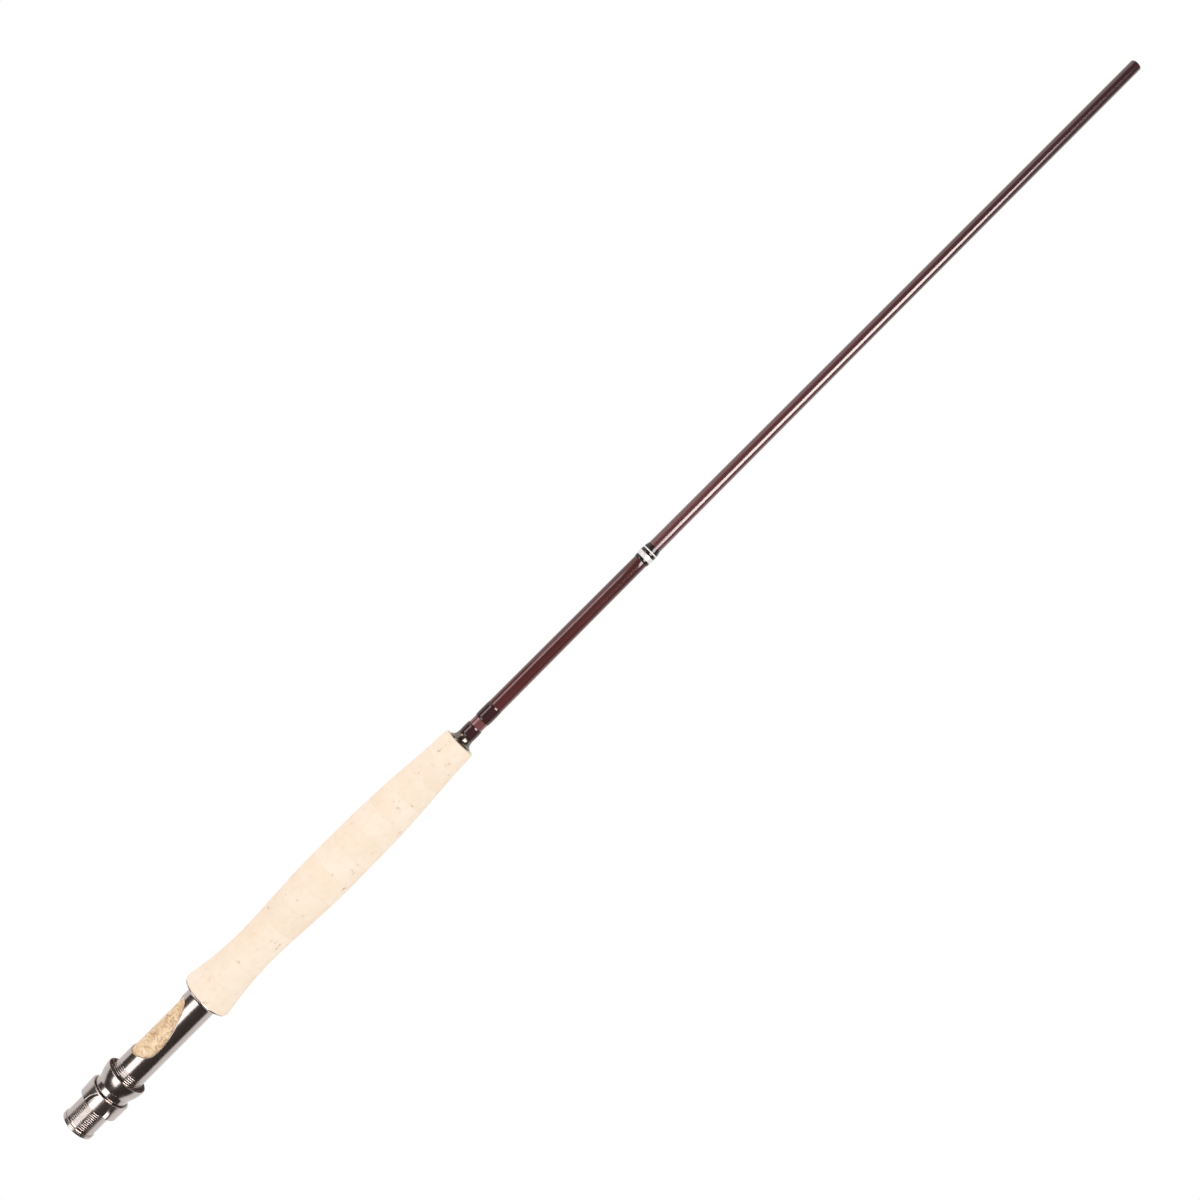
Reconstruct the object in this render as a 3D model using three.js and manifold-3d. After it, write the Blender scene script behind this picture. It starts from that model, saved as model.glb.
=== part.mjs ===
import * as THREE from 'three';
import { mergeVertices } from 'three/addons/utils/BufferGeometryUtils.js';
import Module from 'manifold-3d';

// Butt section of a four-piece fly rod, in millimetres. The rod lies along +X, from the flat face of its
// butt cap at x = 0 to the ferrule end of the blank. Angles round the rod start at +Z and grow towards +Y.

// Main lengths along the rod
const seatLength = 87.6;
const gripLength = 171.7;
const blankReach = 458.7;

// Clearances: glued joints, joints that slide or turn, and how far a cutter passes the faces that it cuts
const bondGap = 0.05;
const runningGap = 0.1;
const cutterOverrun = 1.5;

// Facets round the metal parts and round the cork, the blank and its wraps
const metalFacets = 48;
const corkFacets = 24;

// Butt cap
const capLength = 1.9;
const capRadius = 8.9;
const capEdge = 0.5;
const capSpigotLength = 6.3;

// Reel seat barrel and the teardrop window cut through its wall
const barrelRadius = 8.38;
const barrelWall = 0.76;
const barrelInset = 11;
const windowStart = 45.3;
const windowLength = 35.6;
const windowAngle = THREE.MathUtils.degToRad(65);
const windowHalfAngle = THREE.MathUtils.degToRad(83);
const windowOutlineShares = [
  [0, 0.2], [0.013, 0.36], [0.032, 0.5], [0.06, 0.645], [0.115, 0.86], [0.18, 0.965], [0.26, 1], [0.365, 1],
  [0.49, 0.94], [0.61, 0.86], [0.72, 0.74], [0.82, 0.645], [0.92, 0.48], [0.98, 0.32], [1, 0.06],
];

// Wood insert, and the arbors that centre the blank in it
const arborRadius = 5.2;
const arborLength = 12;
const arborPlaceShares = [0.12, 0.5, 0.88];
const insertSetback = 0.3;

// Fixed hood: a trumpet flange outside the cork, and a shell in the cork with the reel foot's pocket
const flangeRadius = 12.6;
const flangeDepth = 3;
const flangeEdge = 0.5;
const shellRadius = 11.2;
const shellDepth = 8;
const pocketRadius = 10.7;
const pocketDepth = 7.2;
const pocketHalfAngle = THREE.MathUtils.degToRad(42);

// Lock nut, measured from its butt face
const nutPlace = 14.6;
const nutLength = 8;
const nutButtRadius = 10.95;
const nutTopRadius = 11.05;
const nutEdge = 0.25;
const nutThreadLength = 3.3;
const nutRecessRadius = 10.1;
const nutRecessDepth = 0.5;

// Thumb scoops milled in the nut
const scoopCount = 3;
const scoopButtFloorRadius = 9.45;
const scoopTopFloorRadius = 9.75;
const scoopRim = 0.8;
const scoopAngle = THREE.MathUtils.degToRad(-5);
const scoopButtHalfAngle = THREE.MathUtils.degToRad(39);
const scoopTopHalfAngle = THREE.MathUtils.degToRad(24);
const scoopFloorShare = 0.8;
const scoopArchPower = 2.5;

// Thrust washer and split snap ring between nut and hood
const washerThickness = 0.6;
const ringPlace = 5.2;
const ringWidth = 0.6;
const ringRadius = 9.4;
const ringDepth = 0.55;
const ringSplitHalfAngle = THREE.MathUtils.degToRad(12);

// Sliding hood: neck inside the nut, collar, bell and mouth
const neckRadius = 9.1;
const collarRadius = 9.4;
const collarLength = 3.7;
const bellLength = 7.5;
const mouthRadius = 11.3;
const mouthLength = 0.5;
const mouthWall = 0.35;
const mouthEdge = 0.15;
const bellFloorRadius = 8.95;

// Cork grip: rings glued face to face and turned to one outline
const corkRingCount = 14;
const corkRingCuts = 4;
const gripFlareRadius = 13.4;
const gripButtEdge = 1.2;
const gripTopEdge = 0.8;
const gripOutlineShares = [
  [0, 1], [0.03, 0.947], [0.087, 0.843], [0.143, 0.783], [0.193, 0.763], [0.263, 0.789], [0.395, 0.877],
  [0.465, 0.908], [0.543, 0.904], [0.655, 0.885], [0.767, 0.832], [0.843, 0.761], [0.899, 0.707],
  [0.955, 0.672], [1, 0.642],
];
const edgeShares = [0.13, 0.5, 1];

// Blank: a hollow tube with a taper that eases off towards the ferrule
const blankSetback = 2.5;
const blankButtRadius = 4.65;
const blankTipRadius = 3.05;
const blankButtWall = 1.1;
const blankTipWall = 1.2;
const blankTipEdge = 0.8;
const blankTaperShares = [
  [0, 0], [0.354, 0.494], [0.544, 0.728], [0.66, 0.848], [0.795, 0.93], [0.89, 0.981], [1, 1],
];

// Winding check: a thin flange that falls in a trumpet curve to the blank
const checkRadius = 6.1;
const checkFlange = 0.75;
const checkLength = 4.1;
const checkNose = 0.45;

// Thread wraps, clear coat and trim on the blank: lengths along it and heights above it
const lowerWrapLength = 6.6;
const lowerWrapHeight = 0.42;
const wrapSpacing = 4.4;
const upperWrapLength = 9.2;
const upperWrapHeight = 0.37;
const coatLength = 98.4;
const coatHeight = 0.22;
const wrapOutlineShares = [[0, 0.4], [0.12, 0.85], [0.35, 1], [0.65, 1], [0.88, 0.85], [1, 0.4]];
const trimLength = 9.4;
const trimHeight = 0.8;
const trimRingShares = [
  { name: 'trim_ring_lower', length: 0.18, start: 0.62, end: 0.66, finish: 'thread' },
  { name: 'trim_band_wide', length: 0.27, start: 1, end: 0.96, finish: 'silver' },
  { name: 'trim_ring_middle', length: 0.18, start: 0.82, end: 0.8, finish: 'thread' },
  { name: 'trim_band_narrow', length: 0.08, start: 0.86, end: 0.84, finish: 'silver' },
  { name: 'trim_ring_upper', length: 0.29, start: 0.72, end: 0.12, finish: 'thread' },
];

// Steps along curves of the profiles and round the cutters
const curveSteps = 6;
const bellSteps = 8;
const cutterSteps = 10;
const wallSteps = 3;

const wasm = await Module();
wasm.setup();

// Finishes
const finishes = {
  gunmetal: { color: 0x5d5252, roughness: 0.18, metalness: 0.9 },
  burl: { color: 0xd9bd92, roughness: 0.5, metalness: 0 },
  arbor: { color: 0xc7b48c, roughness: 0.9, metalness: 0 },
  nylon: { color: 0xe8e4da, roughness: 0.5, metalness: 0 },
  steel: { color: 0xb9babd, roughness: 0.3, metalness: 0.9 },
  cork: { color: 0xf2dcc2, roughness: 0.85, metalness: 0 },
  check: { color: 0x2a2524, roughness: 0.3, metalness: 0.6 },
  blank: { color: 0x5e2a2d, roughness: 0.25, metalness: 0.2 },
  thread: { color: 0x2b1215, roughness: 0.2, metalness: 0 },
  coat: { color: 0x6a2327, roughness: 0.08, metalness: 0 },
  silver: { color: 0xdedede, roughness: 0.25, metalness: 0.8 },
};

function piece(name, geometry, finish) {
  const mesh = new THREE.Mesh(geometry, new THREE.MeshStandardMaterial(finishes[finish]));
  mesh.name = name;
  return mesh;
}

// Point at a distance along the rod, a radius and an angle round it
function aroundRod(x, radius, angle) {
  return new THREE.Vector3(x, radius * Math.sin(angle), radius * Math.cos(angle));
}

// Corner radius of a faceted bore whose flats stand a gap outside a shaft
function boreAround(shaftRadius, gap, facets) {
  return (shaftRadius + gap) / Math.cos(Math.PI / facets);
}

// Value at x on a line through [x, value] points
function alongLine(points, x) {
  const after = points.findIndex(([place]) => place >= x);
  if (after === -1) return points.at(-1)[1];
  if (after === 0) return points[0][1];
  const [[x0, value0], [x1, value1]] = points.slice(after - 1, after + 1);
  return THREE.MathUtils.mapLinear(x, x0, x1, value0, value1);
}

// Points of a quarter ellipse from one [x, radius] point to another. It leaves the first along the rod and
// reaches the second square to it, or the other way round.
function quarterCurve([x0, radius0], [x1, radius1], leavesAlongRod, steps = curveSteps) {
  const points = [];
  for (let i = 0; i <= steps; i++) {
    const turn = (i / steps) * (Math.PI / 2);
    const along = leavesAlongRod ? Math.sin(turn) : 1 - Math.cos(turn);
    const across = leavesAlongRod ? 1 - Math.cos(turn) : Math.sin(turn);
    points.push([x0 + (x1 - x0) * along, radius0 + (radius1 - radius0) * across]);
  }
  return points;
}

// Points of a quarter wave that leaves its first [x, radius] point at a slope and ends parallel to the rod
function bellCurve([x0, radius0], [x1, radius1], steps = bellSteps) {
  const points = [];
  for (let i = 0; i <= steps; i++) {
    const share = i / steps;
    const swell = Math.sin((share * Math.PI) / 2);
    points.push([x0 + (x1 - x0) * share, radius0 + (radius1 - radius0) * swell]);
  }
  return points;
}

// Solid of revolution about the rod's axis from a closed outline of [x, radius] points
function turned(outline, facets) {
  const points = outline.map(([x, radius]) => new THREE.Vector2(radius, x));
  if (THREE.ShapeUtils.isClockWise(points)) points.reverse();
  const startsOnAxis = points[0].x === 0 && points.at(-1).x === 0;
  if (!startsOnAxis) points.push(points[0].clone());
  return new THREE.LatheGeometry(points, facets).rotateZ(-Math.PI / 2);
}

// Closed body whose cross-sections are bands round the rod. Each station has an x and a row of
// { angle, low } points: the band fills from the low radius to the high radius at every angle.
function bandSolid(stations, highRadius) {
  const rows = stations.map(({ x, band }) => [
    ...band.map(({ angle, low }) => aroundRod(x, low, angle)),
    ...band.map(({ angle }) => aroundRod(x, highRadius, angle)).reverse(),
  ]);
  const ringSize = rows[0].length;
  const positions = rows.flat().flatMap((point) => point.toArray());
  const triangles = [];
  for (let row = 0; row < rows.length - 1; row++) {
    for (let i = 0; i < ringSize; i++) {
      const next = (i + 1) % ringSize;
      const [a, b] = [row * ringSize + i, row * ringSize + next];
      triangles.push(a, b, a + ringSize, b, b + ringSize, a + ringSize);
    }
  }
  const last = (rows.length - 1) * ringSize;
  for (let i = 0; i < ringSize / 2 - 1; i++) {
    const across = ringSize - 1 - i;
    triangles.push(i, across, i + 1, i + 1, across, across - 1);
    triangles.push(last + i, last + i + 1, last + across, last + i + 1, last + across - 1, last + across);
  }
  const geometry = new THREE.BufferGeometry();
  geometry.setAttribute('position', new THREE.Float32BufferAttribute(positions, 3));
  geometry.setIndex(triangles);
  return geometry;
}

// Evenly spaced angles of a band, all with the same low radius
function plainBand(centre, halfAngle, low) {
  const band = [];
  for (let i = 0; i <= cutterSteps; i++) {
    const angle = centre + halfAngle * ((2 * i) / cutterSteps - 1);
    band.push({ angle, low });
  }
  return band;
}

function solidOf(geometry) {
  const bare = geometry.clone().deleteAttribute('normal').deleteAttribute('uv');
  const merged = mergeVertices(bare);
  const mesh = new wasm.Mesh({
    numProp: 3,
    vertProperties: merged.attributes.position.array,
    triVerts: new Uint32Array(merged.index.array),
  });
  const solid = new wasm.Manifold(mesh);
  if (solid.volume() >= 0) return solid;
  mesh.triVerts = mesh.triVerts.map((_, i, all) => all[i - (i % 3) + 2 - (i % 3)]);
  return new wasm.Manifold(mesh);
}

function geometryOf(solid) {
  const { vertProperties, triVerts } = solid.getMesh();
  const geometry = new THREE.BufferGeometry();
  geometry.setAttribute('position', new THREE.BufferAttribute(vertProperties, 3));
  geometry.setIndex(new THREE.BufferAttribute(triVerts, 1));
  geometry.computeVertexNormals();
  return geometry;
}

function cut(geometry, cutters) {
  const rest = cutters.reduce((solid, cutter) => solid.subtract(solidOf(cutter)), solidOf(geometry));
  return geometryOf(rest);
}

// Places along the rod that several pieces share
const gripStart = seatLength;
const gripEnd = gripStart + gripLength;
const rodLength = gripEnd + blankReach;
const barrelBore = barrelRadius - barrelWall;
const barrelEnd = gripStart + barrelInset;
const insertStart = capLength + capSpigotLength + insertSetback;
const blankStart = insertStart + blankSetback;
const slidingBore = boreAround(barrelRadius, runningGap, metalFacets);

function blankRadiusAt(x) {
  const share = (x - blankStart) / (rodLength - blankStart);
  return THREE.MathUtils.lerp(blankButtRadius, blankTipRadius, alongLine(blankTaperShares, share));
}

// Conical bore, glued round the blank
function blankBoreAt(x) {
  return boreAround(blankRadiusAt(x), bondGap, corkFacets);
}

function makeButtCap() {
  const spigotRadius = barrelBore - bondGap;
  const spigotEnd = capLength + capSpigotLength;
  return turned([
    [0, 0],
    ...quarterCurve([0, capRadius - capEdge], [capEdge, capRadius], false),
    [capLength, capRadius],
    [capLength, spigotRadius],
    [spigotEnd - capEdge, spigotRadius],
    [spigotEnd, spigotRadius - capEdge],
    [spigotEnd, 0],
  ], metalFacets);
}

function makeBarrel() {
  const tube = turned([
    [capLength, barrelBore],
    [capLength, barrelRadius],
    [barrelEnd, barrelRadius],
    [barrelEnd, barrelBore],
  ], metalFacets);
  const stations = windowOutlineShares.map(([lengthShare, angleShare]) => ({
    x: windowStart + windowLength * lengthShare,
    band: plainBand(windowAngle, windowHalfAngle * angleShare, barrelBore - cutterOverrun),
  }));
  return cut(tube, [bandSolid(stations, barrelRadius + cutterOverrun)]);
}

function makeInsert() {
  const bore = boreAround(arborRadius, bondGap, metalFacets);
  const radius = barrelBore - bondGap;
  return turned([
    [insertStart, bore],
    [insertStart, radius],
    [barrelEnd, radius],
    [barrelEnd, bore],
  ], metalFacets);
}

function makeArbor(placeShare) {
  const start = THREE.MathUtils.lerp(insertStart + blankSetback, barrelEnd, placeShare) - arborLength / 2;
  const end = start + arborLength;
  return turned([
    [start, blankBoreAt(start)],
    [start, arborRadius],
    [end, arborRadius],
    [end, blankBoreAt(end)],
  ], corkFacets);
}

function makeFixedHood() {
  const bore = boreAround(barrelRadius, bondGap, metalFacets);
  const flangeFront = gripStart - flangeDepth;
  const body = turned([
    ...quarterCurve([flangeFront, bore], [gripStart - flangeEdge, flangeRadius], true),
    [gripStart, flangeRadius],
    [gripStart, shellRadius],
    [gripStart + shellDepth, shellRadius],
    [gripStart + shellDepth, bore],
  ], metalFacets);
  const pocketBand = plainBand(windowAngle + Math.PI, pocketHalfAngle, barrelRadius - cutterOverrun);
  const pocket = bandSolid([
    { x: flangeFront - cutterOverrun, band: pocketBand },
    { x: gripStart + pocketDepth, band: pocketBand },
  ], pocketRadius);
  return cut(body, [pocket]);
}

// A scoop is deepest at the butt face of the nut, and its sides lean out from the floor to the lobes. They
// run nearly straight up from the butt face and draw together in an arch below the rim.
function scoopBand(centre, share) {
  const floor = THREE.MathUtils.lerp(scoopButtFloorRadius, scoopTopFloorRadius, share);
  const rimHalf = THREE.MathUtils.lerp(scoopButtHalfAngle, scoopTopHalfAngle, share ** scoopArchPower);
  const floorHalf = rimHalf * scoopFloorShare;
  const wall = [];
  for (let i = 1; i <= wallSteps; i++) {
    const step = i / wallSteps;
    const low = THREE.MathUtils.lerp(floor, nutTopRadius, step);
    wall.push({ offset: THREE.MathUtils.lerp(floorHalf, rimHalf, step), low });
  }
  return [
    ...wall.map(({ offset, low }) => ({ angle: centre - offset, low })).reverse(),
    ...plainBand(centre, floorHalf, floor),
    ...wall.map(({ offset, low }) => ({ angle: centre + offset, low })),
  ];
}

function makeScoop(centre) {
  const height = nutLength - scoopRim;
  const stations = [{ x: -cutterOverrun, band: scoopBand(centre, 0) }];
  for (let i = 0; i <= curveSteps; i++) {
    const share = i / curveSteps;
    stations.push({ x: height * share, band: scoopBand(centre, share) });
  }
  return bandSolid(stations, nutTopRadius + cutterOverrun);
}

function makeLockNut() {
  const cavity = boreAround(neckRadius, runningGap, metalFacets);
  const ringSeat = boreAround(ringRadius, bondGap, metalFacets);
  const body = turned([
    [0, slidingBore],
    [0, nutButtRadius - nutEdge],
    [nutEdge, nutButtRadius],
    [nutLength, nutTopRadius],
    [nutLength, nutRecessRadius],
    [nutLength - nutRecessDepth, nutRecessRadius],
    [nutLength - nutRecessDepth, cavity],
    [ringPlace + ringWidth + runningGap, cavity],
    [ringPlace + ringWidth + runningGap, ringSeat],
    [ringPlace, ringSeat],
    [ringPlace, cavity],
    [nutThreadLength, cavity],
    [nutThreadLength, slidingBore],
  ], metalFacets);
  const scoops = [];
  for (let i = 0; i < scoopCount; i++) {
    scoops.push(makeScoop(scoopAngle + (i * 2 * Math.PI) / scoopCount));
  }
  return cut(body, scoops);
}

function makeThrustWasher() {
  const start = nutThreadLength + runningGap / 2;
  return turned([
    [start, slidingBore],
    [start, neckRadius],
    [start + washerThickness, neckRadius],
    [start + washerThickness, slidingBore],
  ], metalFacets);
}

function makeSnapRing() {
  const start = ringPlace + runningGap / 2;
  const inner = ringRadius - ringDepth;
  const ring = turned([
    [start, inner],
    [start, ringRadius],
    [start + ringWidth, ringRadius],
    [start + ringWidth, inner],
  ], metalFacets);
  const band = plainBand(windowAngle, ringSplitHalfAngle, inner - cutterOverrun);
  const split = bandSolid([
    { x: start - cutterOverrun, band },
    { x: start + ringWidth + cutterOverrun, band },
  ], ringRadius + cutterOverrun);
  return cut(ring, [split]);
}

function makeSlidingHood() {
  const neckStart = nutThreadLength + washerThickness + runningGap;
  const shoulder = nutLength - nutRecessDepth + runningGap;
  const bellStart = shoulder + collarLength;
  const bellEnd = bellStart + bellLength;
  const mouth = bellEnd + mouthLength;
  const grooveFloor = ringRadius - ringDepth - bondGap;
  const mouthBore = mouthRadius - mouthWall;
  return turned([
    [neckStart, slidingBore],
    [neckStart, neckRadius],
    [ringPlace, neckRadius],
    [ringPlace, grooveFloor],
    [ringPlace + ringWidth + runningGap, grooveFloor],
    [ringPlace + ringWidth + runningGap, neckRadius],
    [shoulder, neckRadius],
    [shoulder, collarRadius],
    ...bellCurve([bellStart, collarRadius], [bellEnd, mouthRadius]),
    [mouth - mouthEdge, mouthRadius],
    [mouth, mouthRadius - mouthEdge],
    [mouth, mouthBore],
    ...bellCurve([bellStart, bellFloorRadius], [bellEnd, mouthBore]).reverse(),
    [bellStart, slidingBore],
  ], metalFacets);
}

// Depth that a rounded corner takes off a radius, at a distance from the end face
function cornerDrop(edge, distance) {
  if (distance >= edge) return 0;
  return edge - Math.sqrt(edge ** 2 - (edge - distance) ** 2);
}

const gripCurve = new THREE.SplineCurve(
  gripOutlineShares.map(([lengthShare, radiusShare]) =>
    new THREE.Vector2(gripLength * lengthShare, gripFlareRadius * radiusShare)),
);
const gripOutline = gripCurve.getPoints(gripOutlineShares.length * curveSteps).map(({ x, y }) => [x, y]);

// Outside of the grip at a distance from its butt face
function gripRadiusAt(distance) {
  const corners = cornerDrop(gripButtEdge, distance) + cornerDrop(gripTopEdge, gripLength - distance);
  return alongLine(gripOutline, distance) - corners;
}

// Cork is bored in steps: for the shell of the fixed hood, for the barrel, then tapered for the blank
function gripBoreSteps() {
  return [
    { end: shellDepth, radiusAt: () => boreAround(shellRadius, bondGap, corkFacets) },
    { end: barrelInset, radiusAt: () => boreAround(barrelRadius, bondGap, corkFacets) },
    { end: gripLength, radiusAt: (distance) => blankBoreAt(gripStart + distance) },
  ];
}

function makeCorkRing(start, end) {
  const outside = new Set();
  for (let i = 0; i <= corkRingCuts; i++) {
    outside.add(start + ((end - start) * i) / corkRingCuts);
  }
  for (const share of edgeShares) {
    for (const place of [gripButtEdge * share, gripLength - gripTopEdge * share]) {
      if (place > start && place < end) outside.add(place);
    }
  }
  const outline = [...outside].sort((a, b) => b - a).map((place) => [gripStart + place, gripRadiusAt(place)]);
  let reached = start;
  for (const { end: stepEnd, radiusAt } of gripBoreSteps()) {
    if (stepEnd <= reached) continue;
    const next = Math.min(stepEnd, end);
    outline.push([gripStart + reached, radiusAt(reached)], [gripStart + next, radiusAt(next)]);
    reached = next;
    if (reached >= end) break;
  }
  return turned(outline, corkFacets);
}

function makeWindingCheck() {
  const end = gripEnd + checkLength;
  return turned([
    [gripEnd, blankBoreAt(gripEnd)],
    [gripEnd, checkRadius],
    ...quarterCurve([gripEnd + checkFlange, checkRadius], [end, blankRadiusAt(end) + checkNose], false),
    [end, blankBoreAt(end)],
  ], corkFacets);
}

function makeBlank() {
  const tubeLength = rodLength - blankStart;
  const places = blankTaperShares.map(([lengthShare]) => blankStart + tubeLength * lengthShare);
  const outside = places.slice(0, -1).map((x) => [x, blankRadiusAt(x)]);
  const tipBore = blankTipRadius - blankTipWall;
  return turned([
    ...outside,
    ...quarterCurve([rodLength - blankTipEdge, blankTipRadius], [rodLength, blankTipRadius - blankTipEdge], true),
    [rodLength, tipBore],
    [blankStart, blankButtRadius - blankButtWall],
  ], corkFacets);
}

// Sleeve on the blank between two places. Its outside stands the given height above the blank, times the
// share that the outline gives.
function makeSleeve(start, end, height, outlineShares) {
  const outside = outlineShares.map(([lengthShare, heightShare]) => {
    const x = THREE.MathUtils.lerp(start, end, lengthShare);
    return [x, blankRadiusAt(x) + height * heightShare];
  });
  return turned([...outside, [end, blankBoreAt(end)], [start, blankBoreAt(start)]], corkFacets);
}

function makeSeat() {
  const seat = new THREE.Group();
  seat.add(piece('butt_cap', makeButtCap(), 'gunmetal'));
  seat.add(piece('seat_barrel', makeBarrel(), 'gunmetal'));
  seat.add(piece('seat_insert', makeInsert(), 'burl'));
  arborPlaceShares.forEach((placeShare, i) => {
    seat.add(piece(`arbor_${i + 1}`, makeArbor(placeShare), 'arbor'));
  });
  seat.add(piece('fixed_hood', makeFixedHood(), 'gunmetal'));
  return seat;
}

function makeHoodAndNut() {
  const assembly = new THREE.Group();
  assembly.position.x = nutPlace;
  assembly.add(piece('lock_nut', makeLockNut(), 'gunmetal'));
  assembly.add(piece('thrust_washer', makeThrustWasher(), 'nylon'));
  assembly.add(piece('snap_ring', makeSnapRing(), 'steel'));
  assembly.add(piece('sliding_hood', makeSlidingHood(), 'gunmetal'));
  return assembly;
}

function makeGrip() {
  const grip = new THREE.Group();
  const ringLength = gripLength / corkRingCount;
  for (let i = 0; i < corkRingCount; i++) {
    const number = String(i + 1).padStart(2, '0');
    const ring = makeCorkRing(i * ringLength, (i + 1) * ringLength);
    grip.add(piece(`cork_ring_${number}`, ring, 'cork'));
  }
  grip.add(piece('winding_check', makeWindingCheck(), 'check'));
  return grip;
}

function makeBlankAndTrim() {
  const upper = new THREE.Group();
  upper.add(piece('blank', makeBlank(), 'blank'));
  const lowerStart = gripEnd + checkLength;
  const lowerEnd = lowerStart + lowerWrapLength;
  const upperStart = lowerEnd + wrapSpacing;
  const coatStart = upperStart + upperWrapLength;
  const trimStart = coatStart + coatLength;
  const lowerWrap = makeSleeve(lowerStart, lowerEnd, lowerWrapHeight, wrapOutlineShares);
  const upperWrap = makeSleeve(upperStart, coatStart, upperWrapHeight, wrapOutlineShares);
  upper.add(piece('wrap_lower', lowerWrap, 'thread'));
  upper.add(piece('wrap_upper', upperWrap, 'thread'));
  upper.add(piece('label_coat', makeSleeve(coatStart, trimStart, coatHeight, [[0, 1], [1, 1]]), 'coat'));
  let place = trimStart;
  for (const { name, length, start, end, finish } of trimRingShares) {
    const next = place + trimLength * length;
    upper.add(piece(name, makeSleeve(place, next, trimHeight, [[0, start], [1, end]]), finish));
    place = next;
  }
  return upper;
}

const rod = new THREE.Group();
rod.add(makeSeat(), makeHoodAndNut(), makeGrip(), makeBlankAndTrim());

export default rod;
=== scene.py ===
# %% [markdown]
# # Butt section of a fly rod
# The rod lies along X, from the butt cap at 0 to the ferrule end. Z points at the camera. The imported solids
# are faceted and plain, and they stay in place for the physics. Here each visible piece is made again, round
# and finely edged, and gets the finish of the real one. Lengths are in millimetres until they go into a mesh.

import bmesh
import bpy
import numpy as np
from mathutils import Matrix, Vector


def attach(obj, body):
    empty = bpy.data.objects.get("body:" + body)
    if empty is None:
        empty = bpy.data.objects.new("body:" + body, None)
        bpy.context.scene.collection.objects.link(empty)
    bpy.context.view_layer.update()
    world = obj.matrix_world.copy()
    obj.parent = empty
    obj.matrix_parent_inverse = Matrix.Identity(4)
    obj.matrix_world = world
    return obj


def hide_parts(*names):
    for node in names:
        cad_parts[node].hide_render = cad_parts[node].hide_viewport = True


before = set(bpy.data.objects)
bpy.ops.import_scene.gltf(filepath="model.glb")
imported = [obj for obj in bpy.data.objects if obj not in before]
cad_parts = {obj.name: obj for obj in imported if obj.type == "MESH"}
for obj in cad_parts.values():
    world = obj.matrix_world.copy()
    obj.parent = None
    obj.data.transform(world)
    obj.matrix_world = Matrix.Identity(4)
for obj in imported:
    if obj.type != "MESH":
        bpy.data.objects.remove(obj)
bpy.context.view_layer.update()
mm = 0.001

# %% Main places along the rod
seat_length = 87.6
grip_length = 171.7
grip_end = seat_length + grip_length
blank_start, blank_end = 11.0, 718.0
nut_start = 14.6
bond_gap = 0.05
print("grip from", seat_length, "to", round(grip_end, 2))

# %% [markdown]
# ## Points round a rod
# Nearly every piece of a rod is round, and was turned on a lathe. A point on such a piece is easy to say with
# three numbers: how far along the rod it is, how far from the middle, and the angle round it. Thinking in
# these numbers keeps each piece a short function of two parameters.

# %% Points, outlines and surfaces of revolution
def around(x, radius, angle):
    """Points round the rod. Each is (x, radius * sin(angle), radius * cos(angle)), so the angle is 0 on top
    and grows towards +Y."""
    x, radius, angle = np.broadcast_arrays(x, radius, angle)
    return np.stack([x, radius * np.sin(angle), radius * np.cos(angle)], axis=-1)


def softened(corners, cut, steps=5):
    """Outline with rounded corners. The corner P becomes (1 - s)^2 A + 2 s (1 - s) P + s^2 C for s from 0 to
    1, where A and C lie the length `cut` before and after P. A cut of 0 leaves a corner sharp."""
    corners = np.asarray(corners, float)
    cut = np.broadcast_to(np.asarray(cut, float), len(corners))[:, None]
    before = np.roll(corners, 1, axis=0) - corners
    after = np.roll(corners, -1, axis=0) - corners
    a = corners + cut * before / np.maximum(np.linalg.norm(before, axis=1, keepdims=True), 1e-9)
    c = corners + cut * after / np.maximum(np.linalg.norm(after, axis=1, keepdims=True), 1e-9)
    s = np.linspace(0, 1, steps)[None, :, None]
    curve = (1 - s) ** 2 * a[:, None] + 2 * s * (1 - s) * corners[:, None] + s**2 * c[:, None]
    return curve.reshape(-1, 2)


def revolved(outline, columns=128):
    """Surface that an outline of [x, radius] points sweeps in one full turn. An outline that doesn't end on
    the middle line is closed by its first point."""
    outline = np.asarray(outline, float)
    if outline[0, 1] > 0 or outline[-1, 1] > 0:
        outline = np.vstack([outline, outline[:1]])
    turn = np.linspace(0, 2 * np.pi, columns + 1)
    return around(outline[:, None, 0], outline[:, None, 1], turn[None, :])


# %% [markdown]
# ## From grids of points to a mesh
# A grid of points becomes a skin by making a four-sided face of each four neighbours. Where a grid meets
# itself or another grid, the points share a place and are welded, which closes seams and poles. The welded
# skin is shaded smooth, and edges sharper than 40 degrees stay crisp.

# %% Make a piece from grids
def skin(name, grids):
    """Mesh whose faces join points (i, j), (i + 1, j), (i + 1, j + 1) and (i, j + 1) of each grid."""
    points, faces, first = [], [], 0
    for grid in grids:
        rows, columns = grid.shape[:2]
        number = first + np.arange(rows * columns).reshape(rows, columns)
        corners = [number[:-1, :-1], number[1:, :-1], number[1:, 1:], number[:-1, 1:]]
        faces.append(np.stack(corners, axis=-1).reshape(-1, 4))
        points.append(grid.reshape(-1, 3) * mm)
        first += rows * columns
    mesh = bpy.data.meshes.new(name)
    mesh.from_pydata(np.vstack(points), [], np.vstack(faces))
    build = bmesh.new()
    build.from_mesh(mesh)
    bmesh.ops.remove_doubles(build, verts=build.verts, dist=1e-6)
    bmesh.ops.recalc_face_normals(build, faces=build.faces)
    build.to_mesh(mesh)
    build.free()
    mesh.shade_smooth()
    mesh.set_sharp_from_angle(angle=np.radians(40))
    return mesh


def add_piece(name, grids, material, body, nodes):
    mesh = skin(name, grids)
    mesh.materials.append(material)
    piece = bpy.data.objects.new(name, mesh)
    bpy.context.scene.collection.objects.link(piece)
    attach(piece, body)
    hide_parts(*nodes)
    print(f"{name}: {len(mesh.polygons)} faces")
    return piece


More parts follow.
